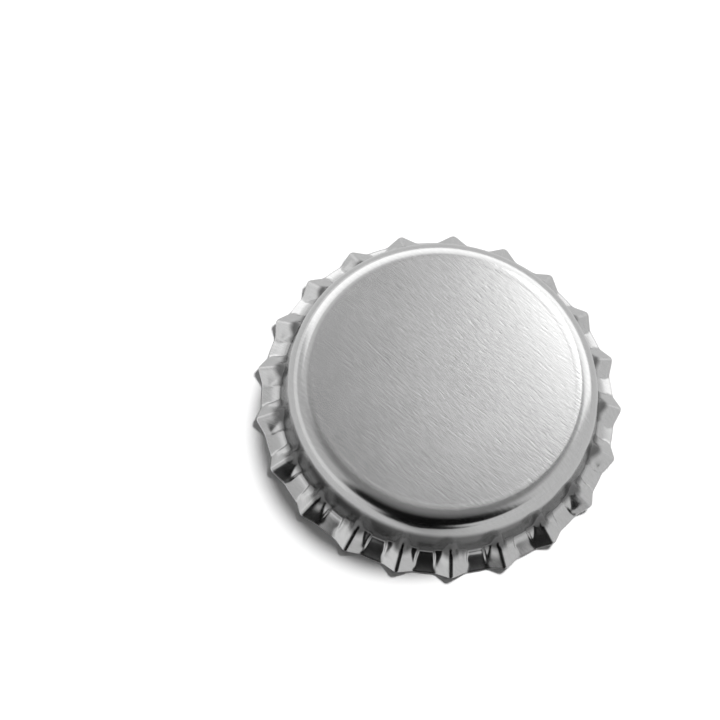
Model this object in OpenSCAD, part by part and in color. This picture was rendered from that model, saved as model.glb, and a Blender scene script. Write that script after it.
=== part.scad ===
// Bottle cap of the crown type, pressed from one disc of tinplate.
// The cap stands on its rim, mouth down. The origin is the centre of the mouth, on the plane
// that the rim rests on, and +Z goes up through the panel.
// The sheet is what is left of a solid plug when the same plug, smaller by one sheet
// thickness on every face, is taken out of it. So it is equally thick everywhere.

/* [Sheet] */

// Thickness of the tinplate
sheet = 0.24; // [0.18:0.01:0.3]

/* [Panel and shoulder] */

// Height from the plane of the rim to the top of the panel
cap_h = 6; // [5.6:0.1:7]
// Rounding between the panel and the wall
shoulder_r = 1.8; // [1:0.1:2.4]

/* [Wall] */

// Radius of the wall right under the shoulder
wall_r = 13.4; // [13:0.05:13.8]
// How far the wall leans outwards on its way down
wall_lean = 9; // [5:1:12]

/* [Rim] */

// Radius of the cut edge in the valleys
valley_r = 15.5; // [15.3:0.05:15.6]
// Radius of the cut edge at the tips of the teeth
tip_r = 16.05; // [15.95:0.05:16.2]
// Height of the tips above the cut edge in the valleys
tip_lift = 0.5; // [0.4:0.02:0.56]

/* [Skirt] */

// Fall of a valley floor below level, towards the rim
valley_slope = 33; // [31:1:36]
// Radius of the bend from the wall into a valley floor
valley_bend = 0.4; // [0.3:0.05:0.6]
// Fall of a crest below level, towards the rim
crest_slope = 34; // [31:1:35]
// Radius of the bend from the wall into a crest
crest_bend = 2.3; // [1.8:0.1:2.8]

/* [Teeth] */

// Number of teeth round the rim
teeth = 21; // [20:1:23]
// Fall of the flanks, to both sides of a crest
flank_slope = 32; // [29:1:34]
// Rounding along the top of a crest
crest_round = 0.5; // [0.4:0.05:0.7]

/* [Hidden] */
$fn = 180;

// A rounding stands this far proud of the flat next to it, so that the two cross in one
// clean line instead of only touching
proud = 0.002;
// The same for the two ends of the bend from the wall into a crest
bend_proud = 0.02;
// Reach of the plugs past the rim, where they are trimmed away
spare = 3;

// Everything below is worked out in the plane of radius and height, as [r, z].
// The wall, a valley floor and a crest are straight lines there, running down and outwards:
// _run is the way each one runs and _out the way its outer face looks.
wall_run = [sin(wall_lean), -cos(wall_lean)];
wall_out = [cos(wall_lean), sin(wall_lean)];
valley_run = [cos(valley_slope), -sin(valley_slope)];
valley_out = [sin(valley_slope), cos(valley_slope)];
crest_run = [cos(crest_slope), -sin(crest_slope)];
crest_out = [sin(crest_slope), cos(crest_slope)];

// The cut edge lies on one wide cone that rises outwards through the valleys and the tips.
// Its lowest point, the underside of a valley, is at zero.
edge_slope = atan(tip_lift / (tip_r - valley_r));
edge_run = [cos(edge_slope), sin(edge_slope)];
valley_edge = [valley_r, sheet * sin(edge_slope) / sin(valley_slope + edge_slope)];
tip = valley_edge + [tip_r - valley_r, tip_lift];

// Centres of the three bends: the shoulder's is inside the metal, the other two outside it
shoulder_c = [wall_r - shoulder_r * cos(wall_lean), cap_h - shoulder_r];
wall_top = shoulder_c + (shoulder_r - proud) * wall_out;
valley_c = meet(wall_top + valley_bend * wall_out, wall_run,
                valley_edge + valley_bend * valley_out, valley_run);
crest_c = meet(wall_top + (crest_bend - bend_proud) * wall_out, wall_run,
               tip + (crest_bend - bend_proud) * crest_out, crest_run);
crest_turn = 90 - wall_lean - crest_slope;

// A straight crest begins inside the wall and ends past the rim
crest_start = meet(wall_top - spare / 2 * wall_out, wall_run, tip, crest_run);
crest_length = norm(tip - crest_start) + spare;
// The block under a crest is wide enough to bury its sides below the valley floors
block_half = PI * tip_r / teeth;
plug_r = tip_r + 2 * spare;

// Point where the line through p along a crosses the line through q along b
function meet(p, a, q, b) = p + a * cross(q - p, b) / cross(a, b);
// Height at radius r of the line through p along a
function height_at(r, p, a) = p[1] + (r - p[0]) * a[1] / a[0];

// Profile of the plug between two teeth, smaller by inset on every face
module plug_profile(inset) {
    panel_z = cap_h - inset;
    low_z = -3 * spare - inset;
    difference() {
        union() {
            polygon([
                [0, low_z],
                [0, panel_z],
                [shoulder_c[0], panel_z],
                shoulder_c + (shoulder_r - inset - proud) * wall_out,
                valley_c - (valley_bend + inset) * wall_out,
                valley_c - (valley_bend + inset) * valley_out,
                [plug_r, height_at(plug_r, valley_edge - inset * valley_out, valley_run)],
                [plug_r, low_z]
            ]);
            translate(shoulder_c) circle(r = shoulder_r - inset);
        }
        translate(valley_c) circle(r = valley_bend + inset + proud);
    }
}

// Section across a tooth: a rounded crest through the origin, and the flanks down from it
// to sides that are half apart from the middle
module tooth_section(inset, half) {
    r = crest_round - inset;
    flank_x = (r - proud) * sin(flank_slope);
    flank_y = (r - proud) * cos(flank_slope) - crest_round;
    side_y = flank_y - (half - flank_x) * tan(flank_slope);
    low_y = -crest_round - half;
    polygon([
        [-flank_x, flank_y],
        [flank_x, flank_y],
        [half, side_y],
        [half, low_y],
        [-half, low_y],
        [-half, side_y]
    ]);
    translate([0, -crest_round]) circle(r = r);
}

// One tooth: the section runs straight down the crest, and bends up from it into the wall
module tooth(inset) {
    translate([crest_start[0], 0, crest_start[1]])
        rotate([0, crest_slope, 0])
            rotate([90, 0, 90])
                linear_extrude(height = crest_length + inset)
                    tooth_section(inset, block_half);
    translate([crest_c[0], 0, crest_c[1]])
        rotate([90, 0, 0])
            rotate(180 + wall_lean)
                rotate_extrude(angle = crest_turn)
                    translate([crest_bend, 0])
                        rotate(90)
                            tooth_section(inset, 0.85 * block_half);
}

module plug(inset) {
    rotate_extrude() plug_profile(inset);
    for (i = [0 : teeth - 1])
        rotate(i * 360 / teeth) tooth(inset);
}

// What lies past the cut edge of the sheet
module trimmings() {
    rotate_extrude()
        polygon([
            [valley_r - spare, -4 * spare],
            [valley_r - spare, height_at(valley_r - spare, valley_edge, edge_run)],
            [plug_r + spare, height_at(plug_r + spare, valley_edge, edge_run)],
            [plug_r + spare, -4 * spare]
        ]);
}

module cap_shell() {
    color([0.78, 0.79, 0.8])
        difference() {
            plug(0);
            plug(sheet);
            trimmings();
        }
}

cap_shell();
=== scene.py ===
# %% [markdown]
# # A crown bottle cap in bare tinplate
# The real thing is one disc of tinned steel, a quarter of a millimetre thick, that a press draws
# into a shallow dish and pleats round its edge. So there is one piece to model: a thin shell.
# We spin its section round, press the teeth into the skirt, give the sheet its thickness, and
# then spend our care on the metal, because bare metal shows hardly anything but its surroundings.

# %% The frame: the imported cap and its one body
from math import atan2, cos, degrees, hypot, pi, radians, sin, sqrt, tan
import bmesh
import bpy
from mathutils import Matrix, Quaternion, Vector


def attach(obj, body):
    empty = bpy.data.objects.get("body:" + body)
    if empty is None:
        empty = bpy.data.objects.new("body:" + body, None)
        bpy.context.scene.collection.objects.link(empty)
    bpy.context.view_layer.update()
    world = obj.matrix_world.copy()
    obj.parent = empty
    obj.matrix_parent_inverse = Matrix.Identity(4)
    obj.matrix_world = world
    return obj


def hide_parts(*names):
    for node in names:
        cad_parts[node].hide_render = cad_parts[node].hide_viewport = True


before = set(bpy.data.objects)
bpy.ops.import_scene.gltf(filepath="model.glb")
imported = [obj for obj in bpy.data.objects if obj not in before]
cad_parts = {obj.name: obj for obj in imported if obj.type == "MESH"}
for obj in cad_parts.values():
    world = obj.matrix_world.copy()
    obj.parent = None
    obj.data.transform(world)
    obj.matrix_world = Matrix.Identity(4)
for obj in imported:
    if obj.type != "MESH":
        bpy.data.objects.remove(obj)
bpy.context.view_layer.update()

# %% [markdown]
# ## Sizes
# All sizes are in millimetres, and the last step of each piece scales it to metres. The section
# is drawn in a plane, with x as the radius and z as the height, and the outer face of the sheet
# is the one that is drawn.

# %% Sizes of the cap
SHEET = 0.24
CAP_H = 6.0
SHOULDER_R, WALL_R, WALL_LEAN = 1.8, 13.4, radians(9)
VALLEY_EDGE, TIP = Vector((15.5, 0, 0.167)), Vector((16.05, 0, 0.667))
VALLEY_BEND, VALLEY_SLOPE = 0.4, radians(33)
CREST_BEND, CREST_SLOPE = 2.3, radians(34)
TEETH, CREST_ROUND = 21, 0.5
FLANK_SLOPE, FLANK_ROOT = radians(32), radians(45)
POCKET_TOP, POCKET_RIM, POCKET_RISE, POCKET_HOLLOW = 0.6, 0.9, radians(50), 0.3
SHELF_REACH, SHELF_SLOPE, SHELF_ROOT = 1.25, radians(44), 0.6
CREASE, SHELF_ROUND = 0.12, 0.1
HOLLOW_SKEW = 0.8
MM = 0.001


def along(slope):
    """Way that a line runs which falls outwards at this angle below level."""
    return Vector((cos(slope), 0, -sin(slope)))


def facing(slope):
    """Way that the outer face of that line looks."""
    return Vector((sin(slope), 0, cos(slope)))


def meet(p, a, q, b):
    """Point where the line through p along a crosses the line through q along b."""
    d = q - p
    return p + a * ((d.x * b.z - d.z * b.x) / (a.x * b.z - a.z * b.x))


WALL_FALL = pi / 2 - WALL_LEAN
shoulder_c = Vector((WALL_R - SHOULDER_R * cos(WALL_LEAN), 0, CAP_H - SHOULDER_R))
wall_top = shoulder_c + SHOULDER_R * facing(WALL_FALL)
valley_c = meet(wall_top + VALLEY_BEND * facing(WALL_FALL), along(WALL_FALL),
                VALLEY_EDGE + VALLEY_BEND * facing(VALLEY_SLOPE), along(VALLEY_SLOPE))
pocket_head = meet(wall_top, along(WALL_FALL), VALLEY_EDGE, along(VALLEY_SLOPE))
pocket_length = (VALLEY_EDGE - pocket_head).length
valley_length = (VALLEY_EDGE - valley_c).dot(along(VALLEY_SLOPE))
crest_c = meet(wall_top + CREST_BEND * facing(WALL_FALL), along(WALL_FALL),
               TIP + CREST_BEND * facing(CREST_SLOPE), along(CREST_SLOPE))
print("bend centres, mm:", shoulder_c, valley_c, crest_c)

# %% [markdown]
# ## Drawing a section with operators
# A section can be typed in as a list of points, but then nobody sees where the numbers come from.
# Here a chain grows from one point instead, as a draughtsman draws: straight runs are extruded,
# and a bend is the last point spun round the bend's centre.

# %% Helpers that grow a chain of points
def start_chain(point):
    bm = bmesh.new()
    bm.verts.layers.int.new("row")
    return bm, [bmesh.ops.create_vert(bm, co=point)["vert"][0]]


def run_to(bm, chain, point, steps):
    step = (Vector(point) - chain[-1].co) / steps
    for _ in range(steps):
        new = bmesh.ops.extrude_vert_indiv(bm, verts=[chain[-1]])["verts"][0]
        bmesh.ops.translate(bm, verts=[new], vec=step)
        chain.append(new)


def bend(bm, chain, centre, angle, steps):
    before = set(bm.verts)
    bmesh.ops.spin(bm, geom=[chain[-1]], cent=centre, axis=(0, 1, 0), dvec=(0, 0, 0),
                   angle=angle, steps=steps, use_merge=False, use_duplicate=False)
    new = [v for v in bm.verts if v not in before]
    new.sort(key=lambda v: (v.co - chain[-1].co).length)
    chain.extend(new)


# %% [markdown]
# ## The section between two teeth
# It starts near the middle of the panel, bends over the shoulder, runs down the leaning wall and
# turns in a tight bend into the valley floor, which ends at the cut edge. The last rows, from
# a third of the way down the wall, are the ones that the press will move. Two rings of points
# just inside the shoulder keep its smooth shading from creeping over the flat panel.

# %% Section of the valleys
SKIRT_Z = 3.4
OUTER_RING, INNER_RING = 0.35, 1.2
SHOULDER_STEPS, WALL_STEPS, ROOT_STEPS, BEND_STEPS, FLOOR_STEPS = 12, 2, 5, 8, 12
skirt_top = meet(wall_top, along(WALL_FALL), Vector((0, 0, SKIRT_Z)), Vector((1, 0, 0)))
turn = WALL_FALL - VALLEY_SLOPE
shell, section = start_chain((shoulder_c.x - INNER_RING, 0, CAP_H))
run_to(shell, section, (shoulder_c.x - OUTER_RING, 0, CAP_H), 1)
run_to(shell, section, (shoulder_c.x, 0, CAP_H), 1)
bend(shell, section, shoulder_c, WALL_FALL, SHOULDER_STEPS)
run_to(shell, section, skirt_top, WALL_STEPS)
first_skirt_row = len(section) - 1
ledge = valley_c - VALLEY_BEND * facing(WALL_FALL)
run_to(shell, section, ledge - SHELF_ROOT * along(WALL_FALL), ROOT_STEPS)
run_to(shell, section, ledge, ROOT_STEPS)
bend(shell, section, valley_c, -turn, BEND_STEPS)
run_to(shell, section, VALLEY_EDGE, FLOOR_STEPS)
valley_rows = [v.co.copy() for v in section]
print("rows in the section:", len(section),
      "of which in the skirt:", len(section) - first_skirt_row)

# %% [markdown]
# ## The section along a crest
# The sheet is nearly as long over a crest as through a valley, so the two are walked side by
# side: each row of the valley has a partner on the crest, and a pressed point slides from one
# towards the other. The crest leaves the wall in one wide hollow bend. Down to the knee, which
# is the middle of the valley's bend, the partners lie at equal lengths of sheet, and below it
# the rest of the valley is shared out over the rest of the crest. A small lead, largest at the
# top of the skirt, keeps each partner a little outside its own row.

# %% Section of the crests and the partner of each row
CREST_STEPS = {"wall": 20, "bend": 60, "crest": 40}
KNEE_ROW = 2 * ROOT_STEPS + BEND_STEPS // 2
LEAD = 0.25
crest_turn = WALL_FALL - CREST_SLOPE
sketch, crest = start_chain(skirt_top)
run_to(sketch, crest, crest_c - CREST_BEND * facing(WALL_FALL), CREST_STEPS["wall"])
bend(sketch, crest, crest_c, -crest_turn, CREST_STEPS["bend"])
run_to(sketch, crest, TIP, CREST_STEPS["crest"])
crest_points = [v.co.copy() for v in crest]
sketch.free()


def lengths(points):
    """Length of the chain from its first point to each of its points."""
    total = [0.0]
    for a, b in zip(points, points[1:]):
        total.append(total[-1] + (b - a).length)
    return total


def point_at(points, reach, s):
    """Point a length s along a chain, and the way that the chain runs there."""
    for i in range(1, len(points)):
        if s <= reach[i] or i == len(points) - 1:
            share = (s - reach[i - 1]) / (reach[i] - reach[i - 1])
            return points[i - 1].lerp(points[i], share), points[i] - points[i - 1]


valley_skirt = valley_rows[first_skirt_row:]
valley_reach, crest_reach = lengths(valley_skirt), lengths(crest_points)
knee = valley_reach[KNEE_ROW]
partners = []
for s in valley_reach:
    if s <= knee:
        t = s
    else:
        t = knee + (s - knee) * (crest_reach[-1] - knee) / (valley_reach[-1] - knee)
    point, way = point_at(crest_points, crest_reach, t)
    out = Vector((-way.z, 0, way.x)).normalized()
    partners.append(point + LEAD * out * (1 - s / valley_reach[-1]))
print("skirt, mm: valley", round(valley_reach[-1], 2), "crest", round(crest_reach[-1], 2))

# %% [markdown]
# ## Spinning the shell
# A full spin makes the cap round, with a column of faces for each of the many small steps. The
# panel is flat, so one many-sided face fills it.

# %% Spin the section
COLUMNS = 46
row_of = shell.verts.layers.int["row"]
for i, v in enumerate(section):
    v[row_of] = i + 1
bmesh.ops.spin(shell, geom=shell.verts[:] + shell.edges[:], cent=(0, 0, 0), axis=(0, 0, 1),
               dvec=(0, 0, 0), angle=2 * pi, steps=TEETH * COLUMNS, use_merge=True,
               use_duplicate=False)
rim = [e for e in shell.edges if e.is_boundary and e.verts[0][row_of] == 1]
bmesh.ops.contextual_create(shell, geom=rim)
bmesh.ops.recalc_face_normals(shell, faces=shell.faces)
print("spun:", len(shell.verts), "points", len(shell.faces), "faces")

# %% [markdown]
# ## Pressing the teeth
# A tooth is a ridge down the skirt: a rounded crest and two flanks that are steeper at the wall
# than at the rim. Between two teeth the die strikes a pocket, slightly hollow and narrower than
# the valley, so that a small shelf is left on either side of it at the tooth's root. Ridges added
# with booleans would leave hard creases, and a press can't fold steel so sharply. So the skirt is
# pressed instead: each point slides from its row on the valley towards its partner on the crest
# until it meets the outside of ridge, shelf and valley together, with a fillet where they cross.

# %% How far a point is outside the valley and outside a ridge
def off_wall(p):
    """Distance outside the wall's outer face."""
    return (p - wall_top).dot(facing(WALL_FALL))


def off_valley(p):
    """Distance outside wall, bend and valley floor, with the hollow that the die strikes."""
    d = p - valley_c
    if d.dot(along(WALL_FALL)) < 0:
        return off_wall(p)
    down = d.dot(along(VALLEY_SLOPE))
    if down > 0:
        share = min(down / valley_length, 1)
        hollow = POCKET_HOLLOW * share ** HOLLOW_SKEW * (1 - share)
        return (p - VALLEY_EDGE).dot(facing(VALLEY_SLOPE)) + hollow
    return VALLEY_BEND - d.length


def off_crest(p):
    """Distance outside the line along the top of a tooth."""
    d = p - crest_c
    up = -d.dot(along(WALL_FALL))
    if up > 0:
        return off_wall(p) + up * up / (2 * CREST_BEND)
    if d.dot(along(CREST_SLOPE)) > 0:
        return (p - TIP).dot(facing(CREST_SLOPE))
    return CREST_BEND - d.length


def fall_across(y, slope):
    """How far the ridge's section has fallen at a distance y from the crest."""
    y_round = CREST_ROUND * sin(slope)
    if y < y_round:
        return CREST_ROUND - sqrt(CREST_ROUND ** 2 - y * y)
    return CREST_ROUND * (1 - cos(slope)) + (y - y_round) * tan(slope)


def soft_min(a, b, width):
    """Smaller of two distances, with a fillet of this width where they cross."""
    step = max(width - abs(a - b), 0) / width
    return min(a, b) - step * step * width / 4


def off_shelf(p, turned, valley):
    """Distance outside the shelf that stays beside a tooth's root when a pocket is struck."""
    down = (p - pocket_head).dot(along(VALLEY_SLOPE))
    half = POCKET_TOP + (POCKET_RIM - POCKET_TOP) * max(down, 0) / pocket_length
    side = p.x * sin(pi / TEETH - turned) - half
    top = (p - pocket_head - SHELF_REACH * along(VALLEY_SLOPE)).dot(facing(SHELF_SLOPE))
    struck = (valley - side * tan(POCKET_RISE)) * cos(POCKET_RISE)
    return -soft_min(-top, -struck, SHELF_ROUND)


def off_sheet(p, turned):
    """Distance outside the pressed sheet, for a point turned by an angle from a crest."""
    ridge = Vector((p.x * cos(turned), 0, p.z))
    valley = off_valley(p)
    down = min(max((p - pocket_head).dot(along(VALLEY_SLOPE)) / SHELF_REACH, 0), 1)
    slope = FLANK_ROOT + (FLANK_SLOPE - FLANK_ROOT) * down
    tooth = (off_crest(ridge) + fall_across(p.x * sin(turned), slope)) * cos(slope)
    return soft_min(soft_min(valley, off_shelf(p, turned, valley), CREASE / 2), tooth, CREASE)


SEARCH = -0.3, 2.2
HALVINGS = 40


def pressed(row, turned):
    """Where a row meets the pressed sheet, on its way from the valley past its partner."""
    start, way = valley_skirt[row], partners[row] - valley_skirt[row]
    low, high = SEARCH
    for _ in range(HALVINGS):
        middle = (low + high) / 2
        if off_sheet(start + middle * way, turned) > 0:
            high = middle
        else:
            low = middle
    return start + middle * way


# %% [markdown]
# ## Columns that follow the creases
# With evenly spaced columns a crease that runs slantwise looks sawn, and the remedy of far more
# columns costs a million triangles. So each row spaces its own columns: it is measured finely,
# and a column is spent where the row bends. The rows are then smoothed against their neighbours,
# or columns would jump sideways from one row to the next.

# %% Angles of the columns: close together where the section bends
half = COLUMNS // 2
pitch = 2 * pi / TEETH
FINE = 150
BEND_PULL, REACH, SMOOTHINGS = 0.6, 3, 2


def spread(row):
    """Angles from the crest of one row's columns, for half a tooth."""
    fine = [pitch / 2 * k / FINE for k in range(FINE + 1)]
    spots = [pressed(row, a) for a in fine]
    spots = [Vector((p.x * cos(a), p.x * sin(a), p.z)) for p, a in zip(spots, fine)]
    ways = [(b - a).normalized() for a, b in zip(spots, spots[1:])]
    bends = [(b - a).length for a, b in zip(ways, ways[1:])]
    bends = [bends[0]] + bends + [bends[-1]]
    need = [1 / FINE + BEND_PULL * sum(bends[max(k - REACH, 0):k + REACH + 1]) / (2 * REACH + 1)
            for k in range(FINE)]
    total = [0.0]
    for n in need:
        total.append(total[-1] + n)
    angles, k = [], 0
    for j in range(half + 1):
        goal = total[-1] * j / half
        while k < FINE - 1 and total[k + 1] < goal:
            k += 1
        angles.append(fine[k] + (goal - total[k]) / need[k] * pitch / 2 / FINE)
    return angles


# %% Space every row and smooth the rows against each other
angles = [spread(row) for row in range(len(valley_skirt))]
for _ in range(SMOOTHINGS):
    angles = [angles[0]] + [[(a + 2 * b + c) / 4 for a, b, c in zip(*rows)]
                            for rows in zip(angles, angles[1:], angles[2:])] + [angles[-1]]
print("narrowest and widest column, degrees:",
      min(round(degrees(b - a), 2) for r in angles for a, b in zip(r, r[1:])),
      max(round(degrees(b - a), 2) for r in angles for a, b in zip(r, r[1:])))

# %% [markdown]
# ## Moving the points, and a map of the flat blank
# One half tooth is worked out and used forty-two times, turned and mirrored. While a point is
# moved its place on the flat blank is written down too, as a UV map: the length of sheet from the
# middle of the panel, along the section, is its distance from the middle of the blank.

# %% Press every skirt point
profile = [[pressed(row, a) for a in angles[row]] for row in range(len(valley_skirt))]
even = [pitch / 2 * j / half for j in range(half + 1)]
blank = shell.loops.layers.uv.new("blank")
flat = {}
blank_reach = [valley_rows[0].x + s for s in lengths(valley_rows)]
for v in shell.verts:
    column = round(atan2(v.co.y, v.co.x) / pitch * COLUMNS)
    tooth, j = divmod(column + half, COLUMNS)
    j -= half
    i = v[row_of] - 1
    row = i - first_skirt_row
    own = angles[max(row, 0)][abs(j)]
    share = min(1, i / first_skirt_row)
    own = even[abs(j)] + share * (own - even[abs(j)])
    turned = tooth * pitch + (own if j >= 0 else -own)
    spot = profile[row][abs(j)] if row >= 0 else Vector((hypot(v.co.x, v.co.y), 0, v.co.z))
    v.co = (spot.x * cos(turned), spot.x * sin(turned), spot.z)
    flat[v] = (blank_reach[i] * MM * cos(turned), blank_reach[i] * MM * sin(turned))
for face in shell.faces:
    for loop in face.loops:
        loop[blank].uv = flat[loop.vert]
print("teeth pressed:", TEETH, "with", COLUMNS, "columns each")

# %% [markdown]
# ## The thickness of the sheet
# The shell so far is the outer face. Solidify adds the inner one a sheet's thickness away. Where
# the sheet slopes, its lower corner would dip under the plane that the cap stands on, so that
# corner is worn flat there, and a narrow bevel breaks the cut edge as deburring does.

# %% Thicken, settle on the table and deburr
DEBURR, DEBURR_FROM = 0.05, radians(50)
bmesh.ops.recalc_face_normals(shell, faces=shell.faces)
if sum(f.normal.z * f.calc_area() for f in shell.faces) < 0:
    bmesh.ops.reverse_faces(shell, faces=shell.faces)
bmesh.ops.scale(shell, vec=(MM, MM, MM), verts=shell.verts)
mesh = bpy.data.meshes.new("pressed_cap")
shell.to_mesh(mesh)
shell.free()
mesh.shade_smooth()
cap = bpy.data.objects.new("pressed_cap", mesh)
bpy.context.collection.objects.link(cap)
thick = cap.modifiers.new("sheet", "SOLIDIFY")
thick.thickness = SHEET * MM
thick.offset = -1
thick.use_even_offset = True
thick.use_rim = True
baked = bpy.data.meshes.new_from_object(cap.evaluated_get(bpy.context.evaluated_depsgraph_get()))
cap.modifiers.clear()
cap.data = baked
for v in baked.vertices:
    v.co.z = max(v.co.z, 0.0)
edge = cap.modifiers.new("deburr", "BEVEL")
edge.width = DEBURR * MM
edge.segments = 2
edge.limit_method = "ANGLE"
edge.angle_limit = DEBURR_FROM
edge.harden_normals = False
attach(cap, "root")
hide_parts("cap_shell")
print("cap:", len(baked.vertices), "points", len(baked.polygons), "faces")

# %% [markdown]
# ## Tinplate
# The sheet was rolled and brushed before it was pressed, so its fine dashes lie all one way, as
# they do on a flat blank, and bend with the sheet over the shoulder. A pattern on the object's
# coordinates would run down the wall in stripes. So the cap carries a UV map that is its own
# flat blank, in metres, and the pattern is drawn on that. The same dashes are on the inside.
# The finish is one node group behind one Principled shader: nothing is painted by hand.

# %% A helper that adds one node and joins or sets its inputs
def add(tree, kind, inputs=None, **settings):
    new = tree.nodes.new("ShaderNode" + kind)
    for name, value in settings.items():
        setattr(new, name, value)
    for key, value in (inputs or {}).items():
        if isinstance(value, bpy.types.NodeSocket):
            tree.links.new(value, new.inputs[key])
        else:
            new.inputs[key].default_value = value
    return new.outputs[0]


# %% [markdown]
# A node group packs an effect behind a few named inputs, so that it can be tuned without opening
# it. This one turns the blank so that its first axis runs with the brushing, stretches a noise
# along it into dashes, and adds a second, longer and rarer kind for the deeper scratches.

# %% Brushed sheet, as a node group
brushed = bpy.data.node_groups.new("brushed_sheet", "ShaderNodeTree")
for name, kind in (("Blank", "Vector"), ("Colour", "Color"), ("Shade of dashes", "Float"),
                   ("Roughness of panel", "Float"), ("Roughness of wall", "Float"),
                   ("Roughness of teeth", "Float"), ("Spread of roughness", "Float"),
                   ("Painted shade of wall", "Float"), ("Crown", "Float"), ("Direction", "Float"),
                   ("Dash length", "Float"), ("Dash width", "Float")):
    brushed.interface.new_socket(name, in_out="INPUT", socket_type="NodeSocket" + kind)
for name, kind in (("Colour", "Color"), ("Roughness", "Float"), ("Height", "Float")):
    brushed.interface.new_socket(name, in_out="OUTPUT", socket_type="NodeSocket" + kind)
given = brushed.nodes.new("NodeGroupInput").outputs
turned_blank = add(brushed, "VectorRotate", {"Vector": given["Blank"], "Angle": given["Direction"]},
                   rotation_type="Z_AXIS")
run = add(brushed, "Math", {0: 1.0, 1: given["Dash length"]}, operation="DIVIDE")
across = add(brushed, "Math", {0: 1.0, 1: given["Dash width"]}, operation="DIVIDE")
grid = add(brushed, "CombineXYZ", {"X": run, "Y": across, "Z": 0.0})
stretched = add(brushed, "VectorMath", {0: turned_blank, 1: grid}, operation="MULTIPLY")
dashes = add(brushed, "TexNoise", {"Vector": stretched, "Scale": 1.0, "Detail": 2.0,
                                   "Roughness": 0.6, "Distortion": 0.4})
longer = add(brushed, "VectorMath", {0: stretched, 1: (0.7, 0.6, 1.0)}, operation="MULTIPLY")
scratches = add(brushed, "TexNoise", {"Vector": longer, "Scale": 1.0, "Detail": 1.0})
deep = add(brushed, "MapRange", {"Value": scratches, "From Min": 0.6, "From Max": 0.75})
clouds = add(brushed, "TexNoise", {"Vector": turned_blank, "Scale": 260.0, "Detail": 3.0})
print("group:", brushed.name, "with", len(brushed.nodes), "nodes")

# %% [markdown]
# ### Where on the blank
# The press irons the sheet smoother where it draws it over the die, so from the shoulder down
# it is nearer to a mirror, until the pleats, which are bent hard and left satin. The steep
# wall is painted darker: this is painted shade, for the dark brim and shaded paper that it
# mirrors. And the panel is not dead flat, for it falls by four hundredths of a millimetre at its
# edge, which is too little to see as a shape, but bends what is mirrored there. The distance from
# the middle of the blank, in metres, says where each of these belongs, so a few ramps do it all.

# %% Ramps along the blank
IRONED, SATIN = (0.0114, 0.0126), (0.0166, 0.0176)
# Where the painted shade on the wall fades in and fades out, in metres from the middle of the
# blank.
PAINTED_SHADE_FROM, PAINTED_SHADE_TO = (0.0140, 0.0150), (0.0171, 0.0179)
PANEL_EDGE, CROWN_CURVE = 0.0112, 4.0


def ramp(ends, **smooth):
    """0 to 1 from one distance to another, going out from the middle of the blank."""
    return add(brushed, "MapRange", {"Value": from_middle.outputs["Value"], "From Min": ends[0],
                                     "From Max": ends[1]}, **smooth)


from_middle = brushed.nodes.new("ShaderNodeVectorMath")
from_middle.operation = "LENGTH"
brushed.links.new(given["Blank"], from_middle.inputs[0])
ironed = add(brushed, "MapRange", {"Value": ramp(IRONED), "To Min": given["Roughness of panel"],
                                   "To Max": given["Roughness of wall"]})
plain = add(brushed, "MapRange", {"Value": ramp(SATIN), "To Min": ironed,
                                  "To Max": given["Roughness of teeth"]})
# Painted shade: the wall band between these two ramps gets a darker colour, for the dark brim and
# shaded paper that it mirrors.
wall_in = ramp(PAINTED_SHADE_FROM, interpolation_type="SMOOTHSTEP")
wall_out = ramp(PAINTED_SHADE_TO[::-1], interpolation_type="SMOOTHSTEP")
painted_shade_on_wall = add(brushed, "Math", {0: wall_in, 1: wall_out}, operation="MULTIPLY")
outward = add(brushed, "Math", {0: from_middle.outputs["Value"], 1: PANEL_EDGE},
              operation="DIVIDE")
capped = add(brushed, "Math", {0: outward, 1: 1.0}, operation="MINIMUM")
fall = add(brushed, "Math", {0: capped, 1: CROWN_CURVE}, operation="POWER")
print("nodes after the ramps:", len(brushed.nodes))

# %% [markdown]
# ### What the group gives out
# A dash changes three things together: it is a little darker or lighter, a little rougher or
# smoother, and it stands a little up or down. The clouds of a wider noise roughen whole areas,
# as handling does. The values are small, for a clean sheet looks nearly even.

# %% Colour, roughness and height
ripple = add(brushed, "Math", {0: dashes, 1: -0.5}, operation="ADD")
haze = add(brushed, "Math", {0: clouds, 1: -0.5}, operation="ADD")
mottle = add(brushed, "Math", {0: ripple, 1: haze}, operation="ADD")
rough = add(brushed, "Math", {0: mottle, 1: given["Spread of roughness"], 2: plain},
            operation="MULTIPLY_ADD")
shade = add(brushed, "Math", {0: ripple, 1: given["Shade of dashes"], 2: 1.0},
            operation="MULTIPLY_ADD")
# Painted shade: on the wall band the colour falls to the wall's painted shade, and elsewhere it
# keeps the shade of the dashes.
dashes_and_painted_shade = add(brushed, "MapRange", {"Value": painted_shade_on_wall, "To Min": shade,
                                   "To Max": given["Painted shade of wall"]})
tone = add(brushed, "VectorMath", {0: given["Colour"], 3: dashes_and_painted_shade}, operation="SCALE")
scored = add(brushed, "Math", {0: deep, 1: -0.5, 2: dashes}, operation="MULTIPLY_ADD")
height = add(brushed, "Math", {0: fall, 1: given["Crown"], 2: scored}, operation="MULTIPLY_ADD")
out = brushed.nodes.new("NodeGroupOutput").inputs
for name, socket in (("Colour", tone), ("Roughness", rough), ("Height", height)):
    brushed.links.new(socket, out[name])
print("nodes in all:", len(brushed.nodes))

# %% [markdown]
# ### The shader
# Brushed metal mirrors sharply along its dashes and blurs across them, which is what anisotropy
# does. It needs to know which way the dashes run, so the tangent comes from the same map of the
# blank and is turned to lie across them. The turn is given in parts of a full circle. The crown
# is counted in heights of the bump, so thirteen of three thousandths of a millimetre.

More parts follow.
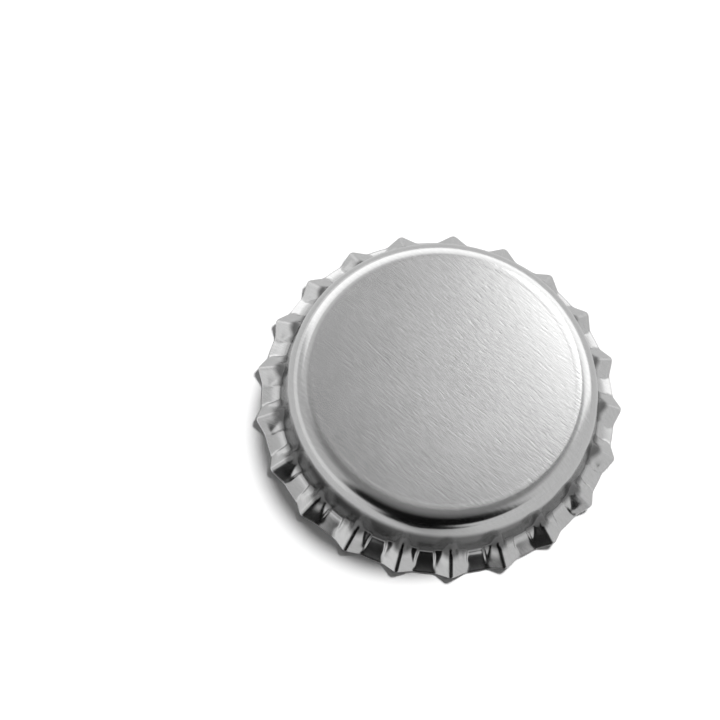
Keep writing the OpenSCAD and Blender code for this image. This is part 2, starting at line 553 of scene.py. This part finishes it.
# %% The tinplate itself
BRUSHED_WAY = 23
tin = bpy.data.materials.new("tinplate")
tin.use_nodes = True
nt = tin.node_tree
bsdf = nt.nodes["Principled BSDF"]
sheet_map = add(nt, "UVMap", uv_map="blank")
finish = nt.nodes.new("ShaderNodeGroup")
finish.node_tree = brushed
nt.links.new(sheet_map, finish.inputs["Blank"])
# The wall's shade, 0.27, is painted shade that darkens the wall band's colour.
for name, value in (("Colour", (0.6, 0.6, 0.6, 1)), ("Shade of dashes", 0.2),
                    ("Roughness of panel", 0.2), ("Roughness of wall", 0.15),
                    ("Roughness of teeth", 0.22), ("Spread of roughness", 0.04),
                    ("Painted shade of wall", 0.27), ("Crown", -13.0),
                    ("Direction", radians(BRUSHED_WAY)), ("Dash length", 0.0009),
                    ("Dash width", 0.00018)):
    finish.inputs[name].default_value = value
bump = add(nt, "Bump", {"Strength": 1.0, "Distance": 0.000003,
                        "Height": finish.outputs["Height"]})
for name, socket in (("Base Color", finish.outputs["Colour"]),
                     ("Roughness", finish.outputs["Roughness"]), ("Normal", bump)):
    nt.links.new(socket, bsdf.inputs[name])
nt.links.new(add(nt, "Tangent", direction_type="UV_MAP", uv_map="blank"), bsdf.inputs["Tangent"])
bsdf.inputs["Metallic"].default_value = 1.0
bsdf.inputs["Anisotropic"].default_value = 0.7
bsdf.inputs["Anisotropic Rotation"].default_value = (90 - BRUSHED_WAY) / 360
cap.data.materials.clear()
cap.data.materials.append(tin)
print("material:", tin.name)

# %% [markdown]
# ## Camera
# A long lens from well above shows the panel nearly round and the skirt's front teeth whole. The
# camera is rolled a little, as a hand-held one is. Such a small object is nearer to the lens than
# the usual clipping distance, so that is brought in.

# %% Camera
ROLL = radians(10.075)
target = Vector((-7.798, 1.640, 0.0)) * MM
place = Vector((4.179, -74.079, 187.978)) * MM
lens = bpy.data.cameras.new("camera")
lens.lens = 115
lens.sensor_width = 36
lens.clip_start = 0.005
lens.clip_end = 20
camera = bpy.data.objects.new("camera", lens)
bpy.context.collection.objects.link(camera)
aim = (target - place).to_track_quat("-Z", "Y") @ Quaternion((0, 0, 1), ROLL)
camera.matrix_world = Matrix.Translation(place) @ aim.to_matrix().to_4x4()
bpy.context.scene.camera = camera
print("camera is", round((place - target).length / MM), "mm away")

# %% [markdown]
# ## White paper
# The cap stands on a sheet of paper that is white to the camera. The metal mirrors that paper
# too, and for it the paper carries painted light and shade, as a real sheet looks from so low
# down: paler near the cap and behind it, and falling off into the dark of the room in front. So
# the tone of the paper depends on the ray that asks: white for the camera, the painted tones for
# mirrored and transmitted rays, and one plain tone for the soft light that the paper throws back.
# The cap's shadow falls on them all.

# %% Floor
FLOOR_HALF = 1.5
bm = bmesh.new()
bmesh.ops.create_grid(bm, x_segments=1, y_segments=1, size=FLOOR_HALF)
floor_mesh = bpy.data.meshes.new("floor")
bm.to_mesh(floor_mesh)
bm.free()
floor = bpy.data.objects.new("floor", floor_mesh)
bpy.context.collection.objects.link(floor)
print("floor, m:", tuple(round(d, 2) for d in floor.dimensions))

# %% Painted light and shade on the paper, as the metal sees them
MIDDLE_X, LEFT_RUN, RIGHT_RUN = 0.004, -4.0, 1.4
DARK_FRONT, BESIDE_CAP = (-0.034, -0.024), (-0.022, -0.004)
FRONT_TONE, REAR_TONE, PALER_BY = 0.01, 0.46, 0.24
paper = bpy.data.materials.new("paper")
paper.use_nodes = True
pt = paper.node_tree
paper_bsdf = pt.nodes["Principled BSDF"]
add(pt, "TexCoord")
add(pt, "SeparateXYZ", {0: pt.nodes["Texture Coordinate"].outputs["Object"]})
spot_xyz = pt.nodes["Separate XYZ"].outputs
from_centre = add(pt, "Math", {0: spot_xyz["X"], 1: -MIDDLE_X}, operation="ADD")
to_left = add(pt, "Math", {0: from_centre, 1: LEFT_RUN}, operation="MULTIPLY")
to_right = add(pt, "Math", {0: from_centre, 1: RIGHT_RUN}, operation="MULTIPLY")
sideways = add(pt, "Math", {0: to_left, 1: to_right}, operation="MAXIMUM")
behind_edge = add(pt, "Math", {0: sideways, 1: spot_xyz["Y"]}, operation="ADD")
# Painted light and shade: for mirrored rays the paper is painted dark in front of the cap and paler
# beside and behind it.
painted_dark_in_front = add(pt, "MapRange", {"Value": behind_edge, "From Min": DARK_FRONT[0],
                                 "From Max": DARK_FRONT[1], "To Min": FRONT_TONE,
                                 "To Max": REAR_TONE}, interpolation_type="SMOOTHSTEP")
painted_light_near_cap = add(pt, "MapRange", {"Value": behind_edge, "From Min": BESIDE_CAP[0],
                                "From Max": BESIDE_CAP[1], "To Max": PALER_BY})
painted_paper_light = add(pt, "Math", {0: painted_dark_in_front, 1: painted_light_near_cap}, operation="ADD")
print("nodes in the paper:", len(pt.nodes))

# %% Which ray sees which tone
CAMERA_TONE, SOFT_TONE = 1.05, 0.68
add(pt, "LightPath")
ray = pt.nodes["Light Path"].outputs
mirrored = add(pt, "Math", {0: ray["Is Glossy Ray"], 1: ray["Is Transmission Ray"]},
               operation="MAXIMUM")
tone = add(pt, "MapRange", {"Value": mirrored, "To Min": SOFT_TONE, "To Max": painted_paper_light})
bright = add(pt, "MapRange", {"Value": ray["Is Camera Ray"], "To Min": tone,
                              "To Max": CAMERA_TONE})
pt.links.new(bright, paper_bsdf.inputs["Base Color"])
paper_bsdf.inputs["Roughness"].default_value = 0.9
paper_bsdf.inputs["Specular IOR Level"].default_value = 0.0
floor.data.materials.append(paper)
print("tone to the camera:", CAMERA_TONE, "and as soft light:", SOFT_TONE)

# %% [markdown]
# ## Key lamp
# One broad, far lamp stands behind the cap and to its right, so the shadow falls to the front
# left, with a soft edge. The metal doesn't mirror this lamp: a bare disc would burn a hole in
# each of forty-two flanks. What the metal mirrors is drawn in the sky instead, tone by tone.

# %% Key lamp
KEY_BEARING, KEY_CLIMB = 149, 53
key = bpy.data.lights.new("key", "SUN")
key.energy = 3.3
key.angle = radians(15)
key_lamp = bpy.data.objects.new("key", key)
bpy.context.collection.objects.link(key_lamp)
bearing, climb = radians(KEY_BEARING), radians(KEY_CLIMB)
from_key = Vector((sin(bearing) * cos(climb), -cos(bearing) * cos(climb), sin(climb)))
key_lamp.rotation_euler = from_key.to_track_quat("Z", "Y").to_euler()
key_lamp.visible_glossy = False
print("key lamp:", round(key.energy, 2), "W/m2, bearing", KEY_BEARING, "climb", KEY_CLIMB)

# %% [markdown]
# ## A studio in the sky
# Metal is lit by building its surroundings: a big softbox, grey walls, a black cloth.
# Here they are drawn straight into the world, as tones by bearing and height above the horizon,
# because real cards would stand in the way of other cameras. Bearings are turned from the
# camera's side, so 90 is the right and 180 is behind the cap. Two of the tools below do most
# of it: `within` cuts out a band with soft edges, and `laid_over` lays a tone over the others.

# %% World, and the height above the horizon
world = bpy.data.worlds.new("studio")
bpy.context.scene.world = world
world.use_nodes = True
sky = world.node_tree
add(sky, "TexCoord")
way = sky.nodes["Texture Coordinate"].outputs["Generated"]
add(sky, "SeparateXYZ", {0: way})
rise = add(sky, "Math", {0: sky.nodes["Separate XYZ"].outputs["Z"]}, operation="ARCSINE")
rise = add(sky, "Math", {0: rise, 1: 180 / pi}, operation="MULTIPLY")
print("world:", world.name)

# %% Tools that draw on the sky
def round_from(bearing):
    """Degrees round the horizon from a bearing, to either side; 0 is the camera's side."""
    turned = add(sky, "VectorRotate", {"Vector": way, "Angle": radians(-bearing)},
                 rotation_type="Z_AXIS")
    parts = sky.nodes.new("ShaderNodeSeparateXYZ")
    sky.links.new(turned, parts.inputs[0])
    south = add(sky, "Math", {0: parts.outputs["Y"], 1: -1.0}, operation="MULTIPLY")
    angle = add(sky, "Math", {0: parts.outputs["X"], 1: south}, operation="ARCTAN2")
    return add(sky, "Math", {0: angle, 1: 180 / pi}, operation="MULTIPLY")


def step_up(value, low, high):
    """0 to 1, softly, as the value goes from low to high."""
    return add(sky, "MapRange", {"Value": value, "From Min": low, "From Max": high},
               interpolation_type="SMOOTHSTEP")


def within(value, low, high, soft):
    """1 between two limits, with soft edges, and 0 outside."""
    falling = step_up(value, high + soft / 2, high - soft / 2)
    return add(sky, "Math", {0: step_up(value, low - soft / 2, low + soft / 2), 1: falling},
               operation="MULTIPLY")


def both(a, b):
    """A mask that holds where two masks hold."""
    return add(sky, "Math", {0: a, 1: b}, operation="MULTIPLY")


def laid_over(under, over, mask):
    """One tone laid over another where the mask is 1."""
    return add(sky, "MapRange", {"Value": mask, "To Min": under, "To Max": over})


# %% [markdown]
# ### Walls, softbox and ceiling
# The walls are grey, and lighter near the ground on the left. The ceiling is darker, but on the
# far left the wall's own tone reaches up into it. The softbox stands behind the cap: it makes
# the bright rim on the far shoulder and the white pockets between the far teeth. A small bright
# patch over it glares softly on the right of the panel. Each band is given by its reach to
# either side of a bearing, or by its lowest and highest rise, and by how soft its edges are,
# all in degrees.

# %% Walls, ceiling, softbox and glare
LEFT, FAR_LEFT, BEHIND, BESIDE_BOX = 270, 222, 184, 168
WALL, CEILING, FAR_LEFT_WALL, GLARE = 0.74, 0.27, 0.73, 4.9
LEFT_WALL, SOFTBOX = (0.98, 0.62), (1.7, 1.35)
left_side = within(round_from(LEFT), -60, 60, 20)
left_tone = laid_over(*LEFT_WALL, step_up(rise, 16, 28))
studio = laid_over(WALL, left_tone, left_side)
studio = laid_over(studio, CEILING, step_up(rise, 47, 74))
far_left = both(within(round_from(FAR_LEFT), -28, 36, 20), within(rise, 44, 68, 10))
studio = laid_over(studio, FAR_LEFT_WALL, far_left)
softbox = both(within(round_from(BEHIND), -59, 60, 12), within(rise, 12.5, 52, 6))
studio = laid_over(studio, laid_over(*SOFTBOX, step_up(rise, 24, 52)), softbox)
glare = both(within(round_from(BESIDE_BOX), -10, 10, 10), within(rise, 52, 63, 6))
studio = laid_over(studio, GLARE, glare)
print("nodes in the sky so far:", len(sky.nodes))

# %% [markdown]
# ### The dark side
# Nothing lights the camera's own side. It is what draws the black crescent on the near shoulder
# and the black lines on the near teeth, and without it the metal looks like grey plastic. The
# dark is narrow near the ground and spreads higher up, so both of its edges slant with the rise.

# %% The dark side
SPREADS, LEFT_EDGE, RIGHT_EDGE = (18.0, 30.0), (-12.0, -36.0), (29.0, 66.0)
GROUND_RIGHT, EDGE_SOFT, BLACK = 35.0, 8, 0.004


def slanting(edge):
    """Bearing of an edge that moves as the rise goes through the height where the dark spreads."""
    return add(sky, "MapRange", {"Value": rise, "From Min": SPREADS[0], "From Max": SPREADS[1],
                                 "To Min": edge[0], "To Max": edge[1]})


front = round_from(0)
right_edge = laid_over(slanting(RIGHT_EDGE), GROUND_RIGHT, step_up(rise, 13, 4))
past_left = step_up(add(sky, "Math", {0: front, 1: slanting(LEFT_EDGE)}, operation="SUBTRACT"),
                    -EDGE_SOFT, EDGE_SOFT)
past_right = step_up(add(sky, "Math", {0: front, 1: right_edge}, operation="SUBTRACT"),
                     EDGE_SOFT, -EDGE_SOFT)
dark = both(both(past_left, past_right), step_up(rise, 88, 50))
studio = laid_over(studio, BLACK, dark)
print("nodes in the sky:", len(sky.nodes))

# %% [markdown]
# ### Who sees the sky
# The camera sees plain white, so the paper has no horizon. Mirrored and transmitted rays see the
# studio. The soft light that falls on the paper is turned down, or the shadow would drown in it.

# %% Camera, mirrored and diffuse rays
WHITE, SOFT_LIGHT = 1.0, 0.26
add(sky, "LightPath")
by = sky.nodes["Light Path"].outputs
seen = laid_over(studio, WHITE, by["Is Camera Ray"])
sky.links.new(seen, sky.nodes["Background"].inputs["Color"])
strength = laid_over(1.0, SOFT_LIGHT, by["Is Diffuse Ray"])
sky.links.new(strength, sky.nodes["Background"].inputs["Strength"])
bpy.context.scene.view_settings.view_transform = "Standard"
print("soft light from the sky:", SOFT_LIGHT)
